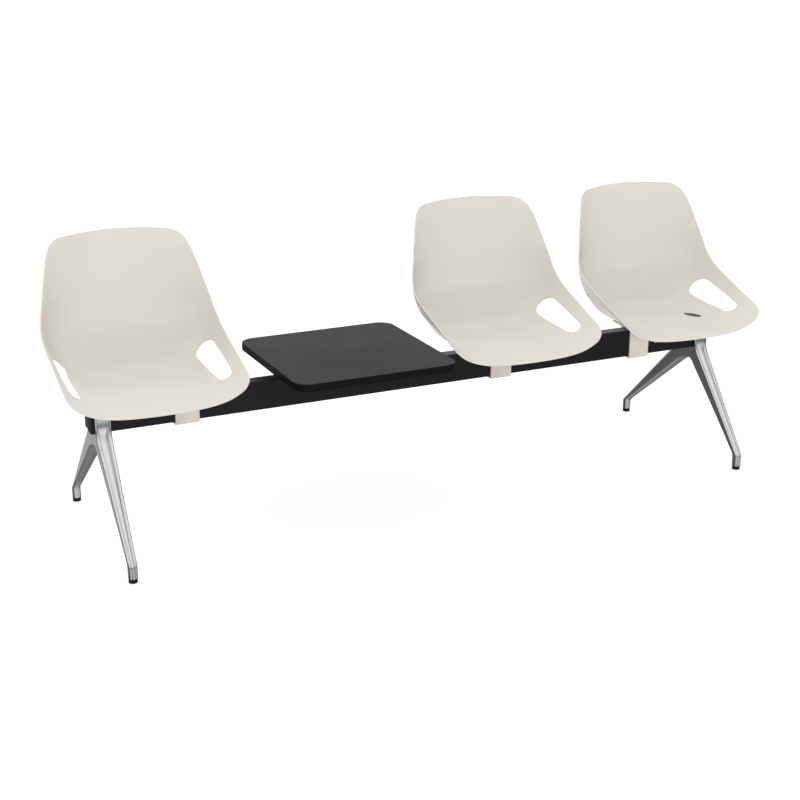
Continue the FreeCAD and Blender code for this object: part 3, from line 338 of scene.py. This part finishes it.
def inside_distance(px, py, curve):
    """Signed distance to a closed curve, positive inside."""
    q = np.stack([px.ravel(), py.ravel()], -1)
    a, b = curve, np.roll(curve, -1, 0)
    best = np.full(len(q), 1e9)
    inside = np.zeros(len(q), bool)
    for (ax, ay), (bx, by) in zip(a, b):
        dx, dy = bx - ax, by - ay
        t = np.clip(((q[:, 0] - ax) * dx + (q[:, 1] - ay) * dy) / (dx * dx + dy * dy + 1e-12), 0, 1)
        best = np.minimum(best, np.hypot(q[:, 0] - ax - t * dx, q[:, 1] - ay - t * dy))
        cross = ((ay > q[:, 1]) != (by > q[:, 1]))
        xcut = ax + (q[:, 1] - ay) * dx / (dy if dy else 1e-12)
        inside ^= cross & (q[:, 0] < xcut)
    return np.where(inside, best, -best).reshape(px.shape)


FRONT_MID, FRONT_BOW, FRONT_R, EDGE = -252.0, 1283.0, 35.0, 239.2
CX = EDGE - FRONT_R
px = CX
for _ in range(30):
    slope = math.asin(px / FRONT_BOW)
    px = CX + FRONT_R * math.sin(slope)
CY = FRONT_MID + FRONT_BOW - math.sqrt(FRONT_BOW ** 2 - px ** 2) + FRONT_R * math.cos(slope)
TOP_MID, TOP_BOW, TOP_R, TX, TZ = 811.5, 2085.0, 56.0, 140.1, 751.5
PLUG = (932 - 821.5, -54.0, 34.0, 13.0, math.radians(-73.9))


def outside(p, s, inset, plug):
    """Positive where the shell is trimmed away (front, top, slots, plug hole)."""
    ax, y, z = np.abs(p[..., 0]), p[..., 1], p[..., 2]
    ang = np.arctan2(ax - CX, CY - y)
    round_f = np.hypot(ax - CX, y - CY) - FRONT_R
    bow_f = np.hypot(ax, y - (FRONT_MID + FRONT_BOW)) - FRONT_BOW
    f = np.where(ang > slope, round_f, bow_f)
    f = np.where((y > CY) | (z > 620), -20.0, f)
    ang_t = np.arctan2(z - TZ, ax - TX)
    round_t = np.hypot(ax - TX, z - TZ) - TOP_R
    bow_t = np.hypot(ax, z - (TOP_MID - TOP_BOW)) - TOP_BOW
    t = np.where(ang_t < math.radians(86), round_t, bow_t)
    t = np.where((ang_t < math.radians(8)) & (z < 775), -20.0, t)
    t = np.where(z < 740, -20.0, t)
    near = (ax > 130) & (y > -175) & (y < 100) & (z > 435) & (z < 535)
    h = np.full(ax.shape, -20.0)
    if near.any():
        h[near] = inside_distance(y[near], z[near], SLOT_CURVE)
    out = np.maximum(np.maximum(f, t), np.maximum(h, -20.0)) + inset
    if plug:
        c, d = math.cos(-PLUG[4]), math.sin(-PLUG[4])
        u, v = p[..., 0] - PLUG[0], y - PLUG[1]
        a, b = (u * c - v * d), (u * d + v * c)
        k = np.hypot(a / PLUG[2], b / PLUG[3])
        g = (1 - k) * PLUG[3]
        g = np.where(k > 2.5, -20.0, g)
        out = np.maximum(out, np.where(z < 450, g + inset * 0.3, -20.0))
    return out


def build_shell(name, plug=False, rows=196, cols=73):
    inset = THICK / 2
    s_line = np.linspace(0, RUN[-1], rows)
    # limit of xi so that the rounded rim ends on the measured rim
    one = np.ones(rows)
    step = np.linalg.norm(surface(s_line, one) - surface(s_line, one - 1e-3), axis=-1) / 1e-3
    limit = 1 - inset * 0.6 / step
    fine = np.linspace(0, 1, 600)
    grid_xi = np.zeros((rows, 2 * cols - 1))
    for r in range(rows):
        x = fine * limit[r]
        p = surface(np.full_like(x, s_line[r]), x)
        d = np.concatenate([[0], np.cumsum(np.linalg.norm(np.diff(p, axis=0), axis=1))])
        half = np.interp(np.linspace(0, d[-1], cols), d, x)
        grid_xi[r] = np.concatenate([-half[:0:-1], half])
    n = grid_xi.shape[1]
    S = np.repeat(s_line[:, None], n, 1)
    P = surface(S, grid_xi)
    F = outside(P, S, inset, plug)
    # pull grid points that nearly touch the trim line onto it, to avoid slivers
    verts_s, verts_x = [], []
    F = np.where(np.abs(F) < 1e-6, 1e-6, F)

    def solve(sa, xa, sb, xb, fb):
        lo, hi = np.zeros(len(sa)), np.ones(len(sa))
        for _ in range(20):
            m = (lo + hi) / 2
            fm = outside(surface(sa + (sb - sa) * m, xa + (xb - xa) * m), None, inset, plug)
            same = (fm > 0) == (fb > 0)
            hi, lo = np.where(same, m, hi), np.where(same, lo, m)
        return (lo + hi) / 2
    snapped = np.zeros((rows, n), bool)
    S2, X2, F2 = S.copy(), grid_xi.copy(), F.copy()
    for dr, dc in ((0, 1), (1, 0)):
        ra, rb = slice(0, rows - dr), slice(dr, rows)
        ca, cb = slice(0, n - dc), slice(dc, n)
        cross = (F[ra, ca] > 0) != (F[rb, cb] > 0)
        i, j = np.nonzero(cross)
        m = solve(S[i, j], grid_xi[i, j], S[i + dr, j + dc], grid_xi[i + dr, j + dc], F[i + dr, j + dc])
        for k in range(len(i)):
            a, b = (i[k], j[k]), (i[k] + dr, j[k] + dc)
            for v, w, t in ((a, b, m[k]), (b, a, 1 - m[k])):
                if t < 0.22 and not snapped[v]:
                    S2[v] = S[v] + (S[w] - S[v]) * t
                    X2[v] = grid_xi[v] + (grid_xi[w] - grid_xi[v]) * t
                    F2[v] = 0.0
                    snapped[v] = True
    cache = {}
    for dr, dc in ((0, 1), (1, 0)):
        ra, rb = slice(0, rows - dr), slice(dr, rows)
        ca, cb = slice(0, n - dc), slice(dc, n)
        i, j = np.nonzero(F2[ra, ca] * F2[rb, cb] < 0)
        sa, xa, sb, xb = S2[i, j], X2[i, j], S2[i + dr, j + dc], X2[i + dr, j + dc]
        m = solve(sa, xa, sb, xb, F2[i + dr, j + dc])
        for k in range(len(i)):
            cache[((i[k], j[k]), (i[k] + dr, j[k] + dc))] = (sa[k] + (sb[k] - sa[k]) * m[k], xa[k] + (xb[k] - xa[k]) * m[k])
    vid = {}

    def vert(key, s, x):
        if key not in vid:
            vid[key] = len(verts_s)
            verts_s.append(s)
            verts_x.append(x)
        return vid[key]

    def crossing(a, b):
        key = (a, b) if a < b else (b, a)
        s, x = cache[key]
        return vert(("e",) + key, s, x)
    polys = []
    for i in range(rows - 1):
        for j in range(n - 1):
            c = ((i, j), (i, j + 1), (i + 1, j + 1), (i + 1, j))
            f = [F2[v] for v in c]
            if all(v >= 0 for v in f):
                continue
            poly = []
            for k in range(4):
                a, b, fa, fb = c[k], c[(k + 1) % 4], f[k], f[(k + 1) % 4]
                if fa <= 0:
                    poly.append(vert(a, S2[a], X2[a]))
                if (fa < 0 and fb > 0) or (fa > 0 and fb < 0):
                    poly.append(crossing(a, b))
            poly = [v for k, v in enumerate(poly) if v != poly[k - 1]]
            if len(poly) >= 3:
                polys.append(poly)
    s, x = np.array(verts_s), np.array(verts_x)
    top = surface(s, x)
    nrm = surface_normal(s, x)
    # orientation: counter-clockwise seen from the sitter's side
    a, b, c = [top[polys[0][k]] for k in (0, 1, 2)]
    if np.dot(np.cross(b - a, c - b), nrm[polys[0][0]]) < 0:
        polys = [p[::-1] for p in polys]
    count = len(top)
    mid = top - nrm * inset
    bottom = top - nrm * THICK
    edges = {}
    for p in polys:
        for k in range(len(p)):
            edges[(p[k], p[(k + 1) % len(p)])] = True
    rim = {a: b for (a, b) in edges if (b, a) not in edges}
    back = {b: a for a, b in rim.items()}
    ring_n = 7
    verts = [top, bottom]
    norms = [nrm, -nrm]
    ring = {}
    offset = 2 * count
    extra, extra_n = [], []
    for a in rim:
        t1, t0 = mid[rim[a]] - mid[a], mid[a] - mid[back[a]]
        l1, l0 = np.linalg.norm(t1), np.linalg.norm(t0)
        t = t1 / max(l1, 1e-9) + t0 / max(l0, 1e-9)
        if min(l0, l1) < 0.35:
            t = t1 + t0
        out = np.cross(t, nrm[a])
        out /= max(np.linalg.norm(out), 1e-9)
        ids = [a]
        for k in range(1, ring_n):
            ang = math.pi * k / ring_n
            d = math.cos(ang) * nrm[a] + math.sin(ang) * out
            extra.append(mid[a] + inset * d)
            extra_n.append(d)
            ids.append(offset + len(extra) - 1)
        ids.append(count + a)
        ring[a] = ids
    faces = [tuple(p) for p in polys] + [tuple(v + count for v in reversed(p)) for p in polys]
    for a, b in rim.items():
        for k in range(ring_n):
            faces.append((ring[b][k], ring[a][k], ring[a][k + 1], ring[b][k + 1]))
    verts = np.concatenate([top, bottom, np.array(extra)]) * MM
    norms = np.concatenate([nrm, -nrm, np.array(extra_n)])
    # moulded bosses on the underside
    faces = list(faces)
    verts, norms = list(verts), list(norms)
    for sx in (-1, 1):
        for by, high in ((-187, 427.4), (10, 428.0)):
            steps = 40
            prof = [(0.0, 422.4, (0, 0, -1)), (8.2, 422.4, (0, 0, -1)), (9.0, 423.2, (0.9, 0, -0.4)), (9.2, 425.4, (1, 0, -0.1)),
                    (11.0, high, (0.7, 0, -0.7)), (11.0, high + 0.1, (0.7, 0, 0.7)), (0.0, high + 0.1, (0, 0, 1))]
            base = len(verts)
            rings = []
            for r, z, nn in prof:
                ids = []
                for k in range(steps if r else 1):
                    ang = 2 * math.pi * k / steps
                    ids.append(len(verts))
                    verts.append(np.array([sx * 110 + r * math.cos(ang), by + r * math.sin(ang), z]) * MM)
                    norms.append(np.array([nn[0] * math.cos(ang), nn[0] * math.sin(ang), nn[2]]))
                rings.append(ids)
            for u, v in zip(rings, rings[1:]):
                for k in range(steps):
                    k2 = (k + 1) % steps
                    if len(u) == 1:
                        faces.append((u[0], v[k2], v[k]))
                    elif len(v) == 1:
                        faces.append((u[k], u[k2], v[0]))
                    else:
                        faces.append((u[k], u[k2], v[k2], v[k]))
    return mesh_object(name, verts, faces, "shell_plastic", norms)


shell = build_shell("shell_left")
shell.location.x = -0.8215
other = bpy.data.objects.new("shell_middle", shell.data)
scene.collection.objects.link(other)
other.location.x = 0.2574
right = build_shell("shell_right", plug=True)
right.location.x = 0.8215
for o, side in ((shell, "left"), (other, "middle"), (right, "right")):
    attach(o, ROOT)
    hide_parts("seat_shell_" + side)
    o.visible_glossy = False

# ------------------------------------------------------------- leg castings
LEG_X = 946.7
HALF_AT = steady_line(np.array([0.0, 12, 42, 58, 74, 126, 189, 249, 300, 330, 360, 420]),
                      np.array([12.0, 12, 12.0, 12.1, 12.3, 13.9, 16.0, 18.3, 20.4, 21.4, 22.0, 22.0]))


def half_at(z):
    return HALF_AT(np.clip(np.asarray(z, float), 0.5, 419))


def chain(points):
    """Points (y, z, corner radius) joined by lines and arcs, finely divided."""
    p = [np.array(q[:2], float) for q in points]
    out = [p[0]]

    def run_to(q):
        d = np.linalg.norm(q - out[-1])
        n = max(1, int(d / 5.0))
        a = out[-1]
        for i in range(1, n + 1):
            out.append(a + (q - a) * i / n)
    for i in range(1, len(p) - 1):
        a, b = p[i - 1] - p[i], p[i + 1] - p[i]
        la, lb = np.linalg.norm(a), np.linalg.norm(b)
        a, b = a / la, b / lb
        turn = math.pi - math.acos(max(-1, min(1, float(np.dot(a, b)))))
        if turn < 0.02:
            run_to(p[i])
            continue
        t = min(points[i][2] * math.tan(turn / 2), 0.49 * min(la, lb))
        r = t / math.tan(turn / 2)
        run_to(p[i] + a * t)
        mid = (a + b) / np.linalg.norm(a + b)
        c = p[i] + mid * r / math.cos(turn / 2)
        v0, v1 = p[i] + a * t - c, p[i] + b * t - c
        steps = max(2, int(math.ceil(turn / math.radians(7))))
        s = np.sign(v0[0] * v1[1] - v0[1] * v1[0])
        for k in range(1, steps + 1):
            ang = s * turn * k / steps
            out.append(c + np.array([v0[0] * math.cos(ang) - v0[1] * math.sin(ang), v0[0] * math.sin(ang) + v0[1] * math.cos(ang)]))
    run_to(p[-1])
    return np.array(out)


OUTER = chain([(-315, 12, 0), (-315, 45.2, 8), (-87, 330.25, 60), (-87, 408, 4.6), (-75, 408, 4.6), (-75, 331.5, 2.5), (6, 331.5, 10),
               (30, 315, 80), (80.5, 267.8, 300), (315, 43.7, 10), (315, 12, 0)])
INNER = chain([(291, 12, 0), (291, 42.3, 16), (-3, 273.0, 80), (-34, 289.0, 34), (-58, 292.6, 11), (-70, 286.0, 12), (-83, 270.5, 60),
               (-124.5, 228, 300), (-231.5, 115.5, 300), (-291, 50.5, 20), (-291, 12, 0)])


def fade(x, a, b):
    t = min(1.0, max(0.0, (x - a) / (b - a)))
    return t * t * (3 - 2 * t)


def leg_section(y, z, face):
    """Half profile across the casting as (distance from the middle, height)."""
    h = float(half_at(z))
    stub = 1 - fade(z, 30, 66)
    if face == "front" or face == "top":
        up = fade(z, 322, 345)
        r = 3.2 + 5.6 * stub + 0.6 * up
        xc = h * (0.46 + 0.08 * fade(z, 60, 300) + 0.17 * fade(z, 318, 346))
        # recess floor, a slow run-out, then the rounded nose of the rib
        if z >= 344:
            centre = -8 + 0.17 * min(18.0, max(0.0, 362 - z))
            crease = -centre
        else:
            centre = -4.94 + 6.14 * math.sin(math.pi / 2 * min(1.0, (344 - z) / 16.0))
            crease = 2.3 + 2.64 * fade(z, 320, 344) + 1.2 * stub
        if face == "top":
            k = fade(z, 396, 404)
            centre, crease = centre * (1 - k), crease * (1 - k)
        flat = fade(z, 328, 342)
        inside = [(xc * i / 8, centre - (centre + crease) * ((i / 8) ** (2 + 2 * flat))) for i in range(9)]
        wall = [(xc + 0.35, -crease * 0.93), (xc + 0.85, -crease * 0.5), (xc + 1.3, -crease * 0.1), (xc + 2.1, 0.0)]
    elif face == "rear":
        r = (h - 1.5 - 1.5 * fade(z, 60, 250)) * fade(y, -12, 30) + 4.0 * (1 - fade(y, -12, 30))
        xc = h * 0.3
        w = h - r * 0.5
        inside = [(xc * i / 8, 0.9 * (1 - (xc * i / 8 / w) ** 2)) for i in range(9)]
        wall = [(xc + d, 0.9 * (1 - ((xc + d) / w) ** 2)) for d in (0.6, 1.2, 1.8, 2.4)]
        last = wall[-1][1]
    else:
        turn = fade(y, -58, 20)
        r = 3.0 + 4.5 * turn + (6.5 - 4.5 * turn) * stub
        if face == "under_rear":
            q = 4.6 * fade(-y, -283, -262) * (1 - math.sqrt(max(0.0, 1 - min(1.0, max(0.0, (y + 22) / 14.0)) ** 2)) if y < -8 else 1.0)
        else:
            q = 3.6 * fade(y, -278, -258) * (1 - fade(y, -104, -92))
        q += 0.6 * stub
        xc = h * (0.66 - 0.22 * max(stub, turn))
        inside = [(xc * i / 8, -q + 0.25 * q * (1 - (i / 8) ** 2)) for i in range(9)]
        wall = [(xc + 0.3, -q * 0.93), (xc + 0.8, -q * 0.5), (xc + 1.3, -q * 0.1), (xc + 2.0, 0.0)]
    length = h - r + r * math.pi / 2
    start = wall[-1][0]
    rest = []
    for i in range(1, 14):
        d = start + (length - start) * i / 13
        lift = 0.0
        if face == "rear":
            lift = last * (1 - i / 13) ** 2
        rest.append((d, lift))
    out = []
    for d, height in inside + wall + rest:
        if d <= h - r:
            out.append((d, height))
        else:
            a = (d - h + r) / r
            out.append((h - r + (r + height) * math.sin(a), -r + (r + height) * math.cos(a)))
    return h, out


def sweep_face(line, faces_at):
    """Grid of points: rows along the line, columns from -x to +x."""
    t = np.gradient(line, axis=0)
    d = np.diff(line, axis=0)
    d /= np.linalg.norm(d, axis=1, keepdims=True)
    t[1:-1] = d[1:] + d[:-1]
    t[0], t[-1] = d[0], d[-1]
    t /= np.linalg.norm(t, axis=1, keepdims=True)
    nrm = np.stack([-t[:, 1], t[:, 0]], -1)
    rows = []
    for (y, z), n, f in zip(line, nrm, faces_at):
        h, prof = leg_section(y, z, f)
        row = []
        for sign, seq in ((-1, prof[:0:-1]), (1, prof)):
            for x, w in seq:
                py, pz = y + n[0] * w, z + n[1] * w
                row.append((sign * x / h * float(half_at(pz)), py, pz))
        rows.append(row)
    return np.array(rows)


def grid_normals(g):
    a = np.gradient(g, axis=0)
    a[1:-1] = (g[2:] - g[1:-1]) / np.maximum(np.linalg.norm(g[2:] - g[1:-1], axis=-1, keepdims=True), 1e-9) \
        + (g[1:-1] - g[:-2]) / np.maximum(np.linalg.norm(g[1:-1] - g[:-2], axis=-1, keepdims=True), 1e-9)
    b = np.empty_like(g)
    d = g[:, 1:] - g[:, :-1]
    d /= np.maximum(np.linalg.norm(d, axis=-1, keepdims=True), 1e-9)
    b[:, 1:-1] = d[:, 1:] + d[:, :-1]
    b[:, 0], b[:, -1] = d[:, 0], d[:, -1]
    n = np.cross(b, a)
    return n / np.maximum(np.linalg.norm(n, axis=-1, keepdims=True), 1e-9)


def build_leg(name):
    front_end = int(np.argmax(OUTER[:, 1] > 407.9))
    kinds = []
    for i, (y, z) in enumerate(OUTER):
        if i <= front_end:
            kinds.append("front" if z < 396 else "top")
        else:
            kinds.append("rear")
    g1 = sweep_face(OUTER, kinds)
    g2 = sweep_face(INNER, ["under_rear" if y > -58 else "under_front" for y, z in INNER])
    n1, n2 = grid_normals(g1), grid_normals(g2)
    cols = g1.shape[1]
    verts, vn = [], []
    for g, n in ((g1, n1), (g2, n2)):
        verts += list(g.reshape(-1, 3))
        vn += list(n.reshape(-1, 3))
    base2 = len(g1) * cols
    faces, loops = [], []

    def id1(r, c):
        return r * cols + c

    def id2(r, c):
        return base2 + r * cols + c

    def add(face, normals):
        faces.append(tuple(face))
        loops.extend(normals)
    for g, idf in ((g1, id1), (g2, id2)):
        for r in range(len(g) - 1):
            for c in range(cols - 1):
                f = (idf(r, c), idf(r, c + 1), idf(r + 1, c + 1), idf(r + 1, c))
                add(f, [vn[v] for v in f])
    # flanks
    from mathutils.geometry import tessellate_polygon
    for c, sx in ((0, -1), (cols - 1, 1)):
        ids = [id1(r, c) for r in range(len(g1))] + [id2(r, c) for r in range(len(g2))]
        flat = [Vector((verts[v][1], verts[v][2], 0)) for v in ids]
        for tri in tessellate_polygon([flat]):
            f = [ids[k] for k in tri]
            p = [verts[v] for v in f]
            if np.cross(p[1] - p[0], p[2] - p[0])[0] * sx < 0:
                f = f[::-1]
            nn = []
            for v in f:
                z = verts[v][2]
                slope = float(half_at(z + 2) - half_at(z - 2)) / 4
                k = np.array([sx, 0.0, -slope])
                nn.append(k / np.linalg.norm(k))
            add(f, nn)
    # flat feet with the threaded bore
    for a, b, yc in ((0, len(g2) - 1, -303.0), (len(g1) - 1, 0, 303.0)):
        loop = [id1(a, c) for c in range(cols)] + [id2(b, c) for c in range(cols)]
        # both rows run from -x to +x, so the second is reversed when needed
        if verts[loop[cols - 1]][0] * verts[loop[cols]][0] < 0:
            loop = loop[:cols] + loop[:cols - 1:-1]
        hole = []
        rings = []
        for z in (12.0, 13.0, 42.0):
            rad = 3.9 if z > 12 else 4.4
            ring = []
            for k in range(24):
                an = 2 * math.pi * k / 24
                ring.append(len(verts))
                verts.append(np.array([rad * math.cos(an), yc + rad * math.sin(an), z]))
                vn.append(np.array([-math.cos(an), -math.sin(an), 0.0]))
            rings.append(ring)
        hole = rings[0]
        both = loop + hole
        tri = tessellate_polygon([[Vector((verts[v][0], verts[v][1], 0)) for v in loop], [Vector((verts[v][0], verts[v][1], 0)) for v in hole]])
        for t in tri:
            f = [both[k] for k in t]
            p = [verts[v] for v in f]
            if np.cross(p[1] - p[0], p[2] - p[0])[2] > 0:
                f = f[::-1]
            add(f, [np.array([0, 0, -1.0])] * 3)
        for u, w in zip(rings, rings[1:]):
            for k in range(24):
                k2 = (k + 1) % 24
                f = (u[k], w[k], w[k2], u[k2])
                add(f, [vn[v] for v in f])
        add(rings[2][::-1], [np.array([0, 0, -1.0])] * 24)
    me = bpy.data.meshes.new(name)
    me.from_pydata([tuple(v * MM) for v in np.array(verts)], [], faces)
    me.update()
    me.materials.append(MATS["polished_alu"])
    me.polygons.foreach_set("use_smooth", [True] * len(me.polygons))
    me.normals_split_custom_set([tuple(n) for n in loops])
    return me


leg_mesh = build_leg("leg_casting")
for side, sx in (("left", -1), ("right", 1)):
    o = bpy.data.objects.new("leg_" + side, leg_mesh)
    scene.collection.objects.link(o)
    o.location.x = sx * LEG_X * MM
    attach(o, ROOT)
    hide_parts("leg_casting_" + side)

# ------------------------------------------- carried-over pieces: soft edges
for side in ("left", "middle", "right"):
    soften("beam_strap_" + side, 0.5, 25, 2)
    soften("pinch_plate_" + side, 0.6)
    soften("pinch_screws_" + side, 0.4)
    soften("seat_carrier_" + side, 0.8)
    soften("carrier_screws_" + side, 0.4)
    frame["nodes"]["seat_carrier_" + side].visible_glossy = False
for side in ("left", "right"):
    soften("leg_clamp_" + side, 1.2)
    soften("beam_end_cap_" + side, 0.7, 40, 2)
    soften("leg_bolts_" + side, 0.5)
    soften("leg_nuts_" + side, 0.5)
soften("table_riser", 0.7)
soften("table_foot_screws", 0.4)

# ---------------------------------------------------------------- the stage
floor_mat = material("floor", (0.55, 0.55, 0.55), 0.9, Specular_IOR_Level=0.0, Emission_Color=(1, 1, 1, 1), Emission_Strength=0.58)
bpy.ops.mesh.primitive_plane_add(size=60, location=(0, 0, -0.0002))
floor = bpy.context.object
floor.name = "floor"
floor.data.materials.append(floor_mat)
floor.visible_glossy = False

# the studio: even white light, and for reflections a bright ceiling and front
# floor with a dim band at the horizon
world = bpy.data.worlds.new("studio")
world.use_nodes = True
scene.world = world
wt = world.node_tree
back = wt.nodes["Background"]
back.inputs["Color"].default_value = (1, 1, 1, 1)


def level(stops, fac):
    r = ramp(wt, fac, [((z + 1) / 2, (v, v, v)) for z, v in stops])
    r.node.color_ramp.interpolation = "EASE"
    return r


def sums(op, a, b):
    m = wt.nodes.new("ShaderNodeMath")
    m.operation = op
    for i, v in enumerate((a, b)):
        if isinstance(v, (int, float)):
            m.inputs[i].default_value = v
        else:
            wt.links.new(v, m.inputs[i])
    return m.outputs[0]


def blended(fac, a, b):
    m = wt.nodes.new("ShaderNodeMix")
    for name, v in (("Factor", fac), ("A", a), ("B", b)):
        if isinstance(v, (int, float)):
            m.inputs[name].default_value = v
        else:
            wt.links.new(v, m.inputs[name])
    return m.outputs["Result"]


def soft(value, a, b, lo=0.0, hi=1.0):
    out = spread(wt, value, lo, hi, a, b)
    out.node.interpolation_type = "SMOOTHSTEP"
    return out


sep = wt.nodes.new("ShaderNodeSeparateXYZ")
wt.links.new(wt.nodes.new("ShaderNodeTexCoord").outputs["Generated"], sep.inputs[0])
X, Y, Z = sep.outputs
height = spread(wt, Z, 0, 1, -1, 1)
front_light = level([(-1, 0.5), (-0.35, 0.6), (-0.14, 0.48), (-0.03, 0.28), (0.07, 0.26), (0.2, 0.42), (0.36, 0.6), (0.52, 0.75), (0.72, 0.88), (1, 0.92)], height)
back_light = level([(-1, 0.28), (-0.7, 0.17), (-0.3, 0.1), (-0.1, 0.09), (0.04, 0.09), (0.16, 0.34), (0.33, 0.62), (0.6, 0.8), (1, 0.88)], height)
room = blended(soft(Y, -0.35, 0.55), front_light, back_light)
room = sums("MULTIPLY", room, sums("SUBTRACT", 1.0, sums("MULTIPLY", soft(X, 0.22, 0.62, 0.0, 0.36), soft(Z, 0.92, 0.72))))
room = sums("MULTIPLY", room, sums("SUBTRACT", 1.0, sums("MULTIPLY", soft(X, 0.84, 0.94, 0.0, 0.45), soft(Z, 0.3, 0.1))))
room = sums("MULTIPLY", room, sums("SUBTRACT", 1.0, sums("MULTIPLY", soft(X, -0.6, -0.9, 0.0, 0.68), soft(Z, 0.3, 0.1))))
wall = sums("MULTIPLY", sums("MULTIPLY", soft(X, -0.44, 0.2, 0.0, 0.85), soft(Y, 0.6, 0.85)), soft(Z, -0.6, -0.36))
room = sums("ADD", room, sums("MULTIPLY", wall, soft(Z, 0.45, 0.1)))
even = soft(Z, 0.0, 0.9, 0.86, 1.1)
light_path = wt.nodes.new("ShaderNodeLightPath")
wt.links.new(blended(light_path.outputs["Is Glossy Ray"], blended(light_path.outputs["Is Camera Ray"], even, 1.0), room), back.inputs["Strength"])


def area(name, size, energy, location, target, colour=(1, 1, 1)):
    d = bpy.data.lights.new(name, "AREA")
    d.shape = "RECTANGLE"
    d.size, d.size_y = size
    d.energy = energy
    d.color = colour
    o = bpy.data.objects.new(name, d)
    o.location = location
    o.rotation_euler = (Vector(target) - Vector(location)).to_track_quat("-Z", "Y").to_euler()
    o.visible_glossy = False
    scene.collection.objects.link(o)
    return o


area("key", (2.5, 2.5), 10, (-2.6, -2.4, 3.6), (0, 0, 0.4))
area("top", (4, 3), 10, (0, 0.5, 4.2), (0, 0, 0.4))

scene.view_settings.view_transform = "Standard"
scene.view_settings.look = "None"
scene.view_settings.exposure = 0
scene.render.film_transparent = False

bpy.context.view_layer.update()
